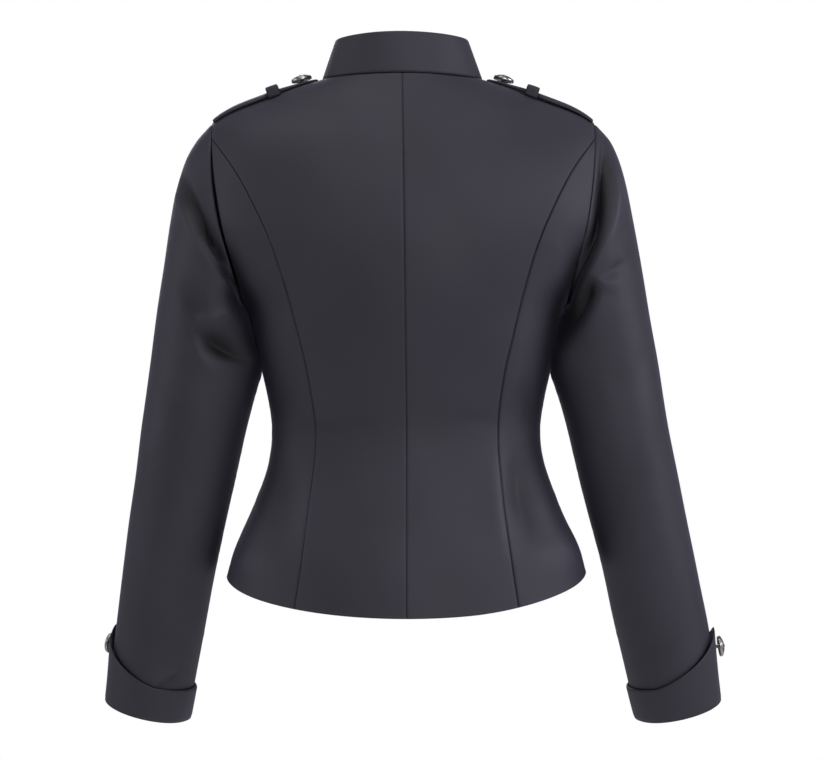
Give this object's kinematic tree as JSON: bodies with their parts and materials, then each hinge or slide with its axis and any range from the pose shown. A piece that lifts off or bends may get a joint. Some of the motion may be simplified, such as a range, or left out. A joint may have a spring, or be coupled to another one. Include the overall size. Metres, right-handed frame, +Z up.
{
  "type": "fitted gothic jacket",
  "caption": "Short fitted jacket with stand collar, princess seams, shoulder straps and pointed turned-back cuffs, hollow and filled out as when worn.",
  "frame": {"origin": "midpoint between the two points where the shoulder seams meet the collar, at the height at which the jacket rests on its wearer's shoulders", "axes": "+X to the wearer's left, +Y to the wearer's back, +Z up"},
  "size_m": [0.6238, 0.2351, 0.6859],
  "materials": {
    "cloth": "charcoal satin twill",
    "button": "antique silver"
  },
  "bodies": {
    "root": {"back_left": "cloth", "back_right": "cloth", "side_back_left": "cloth", "side_back_right": "cloth", "side_front_left": "cloth", "side_front_right": "cloth", "front_left": "cloth", "front_right": "cloth", "collar": "cloth", "sleeve_left": "cloth", "sleeve_right": "cloth", "cuff_left": "cloth", "cuff_right": "cloth", "strap_left": "cloth", "strap_right": "cloth", "keeper_left": "cloth", "keeper_right": "cloth", "button_strap_left": "button", "button_strap_right": "button", "button_cuff_left": "button", "button_cuff_right": "button", "button_front_1": "button", "button_front_2": "button", "button_front_3": "button", "button_front_4": "button", "button_front_5": "button", "button_front_6": "button", "button_front_7": "button"}
  },
  "joints": []
}
